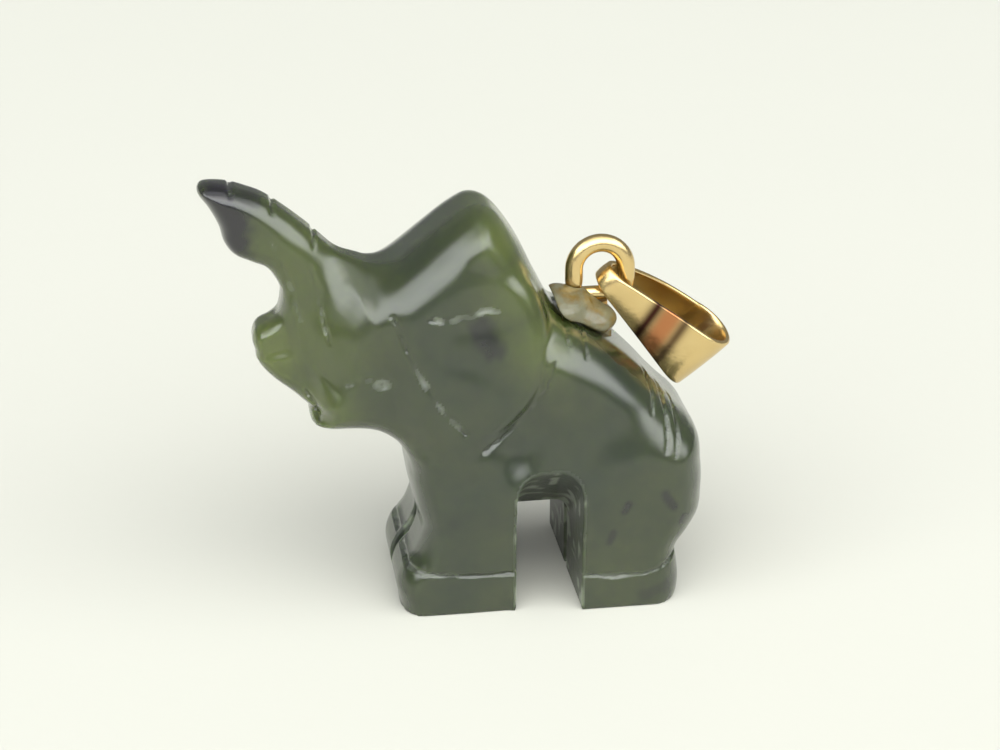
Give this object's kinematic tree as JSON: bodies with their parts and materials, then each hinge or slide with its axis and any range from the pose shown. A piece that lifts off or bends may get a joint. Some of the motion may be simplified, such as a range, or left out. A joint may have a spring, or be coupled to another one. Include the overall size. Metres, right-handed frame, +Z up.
{
  "type": "jade elephant charm",
  "caption": "Small carved jade elephant with raised trunk, standing on flat feet, with a gold eye ring glued in its back and a folded gold bail that swings on it.",
  "frame": {"origin": "on the ground under the middle of the whole charm, halfway between the trunk tip and the end of the bail", "axes": "+X from trunk to rump, +Y across the elephant to its right side, +Z up"},
  "size_m": [0.0263, 0.0102, 0.0218],
  "materials": {
    "jade": "polished",
    "gold": "polished",
    "cement": "glossy"
  },
  "bodies": {
    "carving": {"elephant": "jade", "eye_ring": "gold", "peg": "gold", "cement": "cement"},
    "bail": {"bail": "gold"}
  },
  "joints": [
    {"name": "bail_swing", "type": "hinge", "parent": "carving", "child": "bail", "pos_m": [0.00636, 0, 0.01645], "axis": [0, -1, 0], "range_deg": [0, 160]}
  ]
}
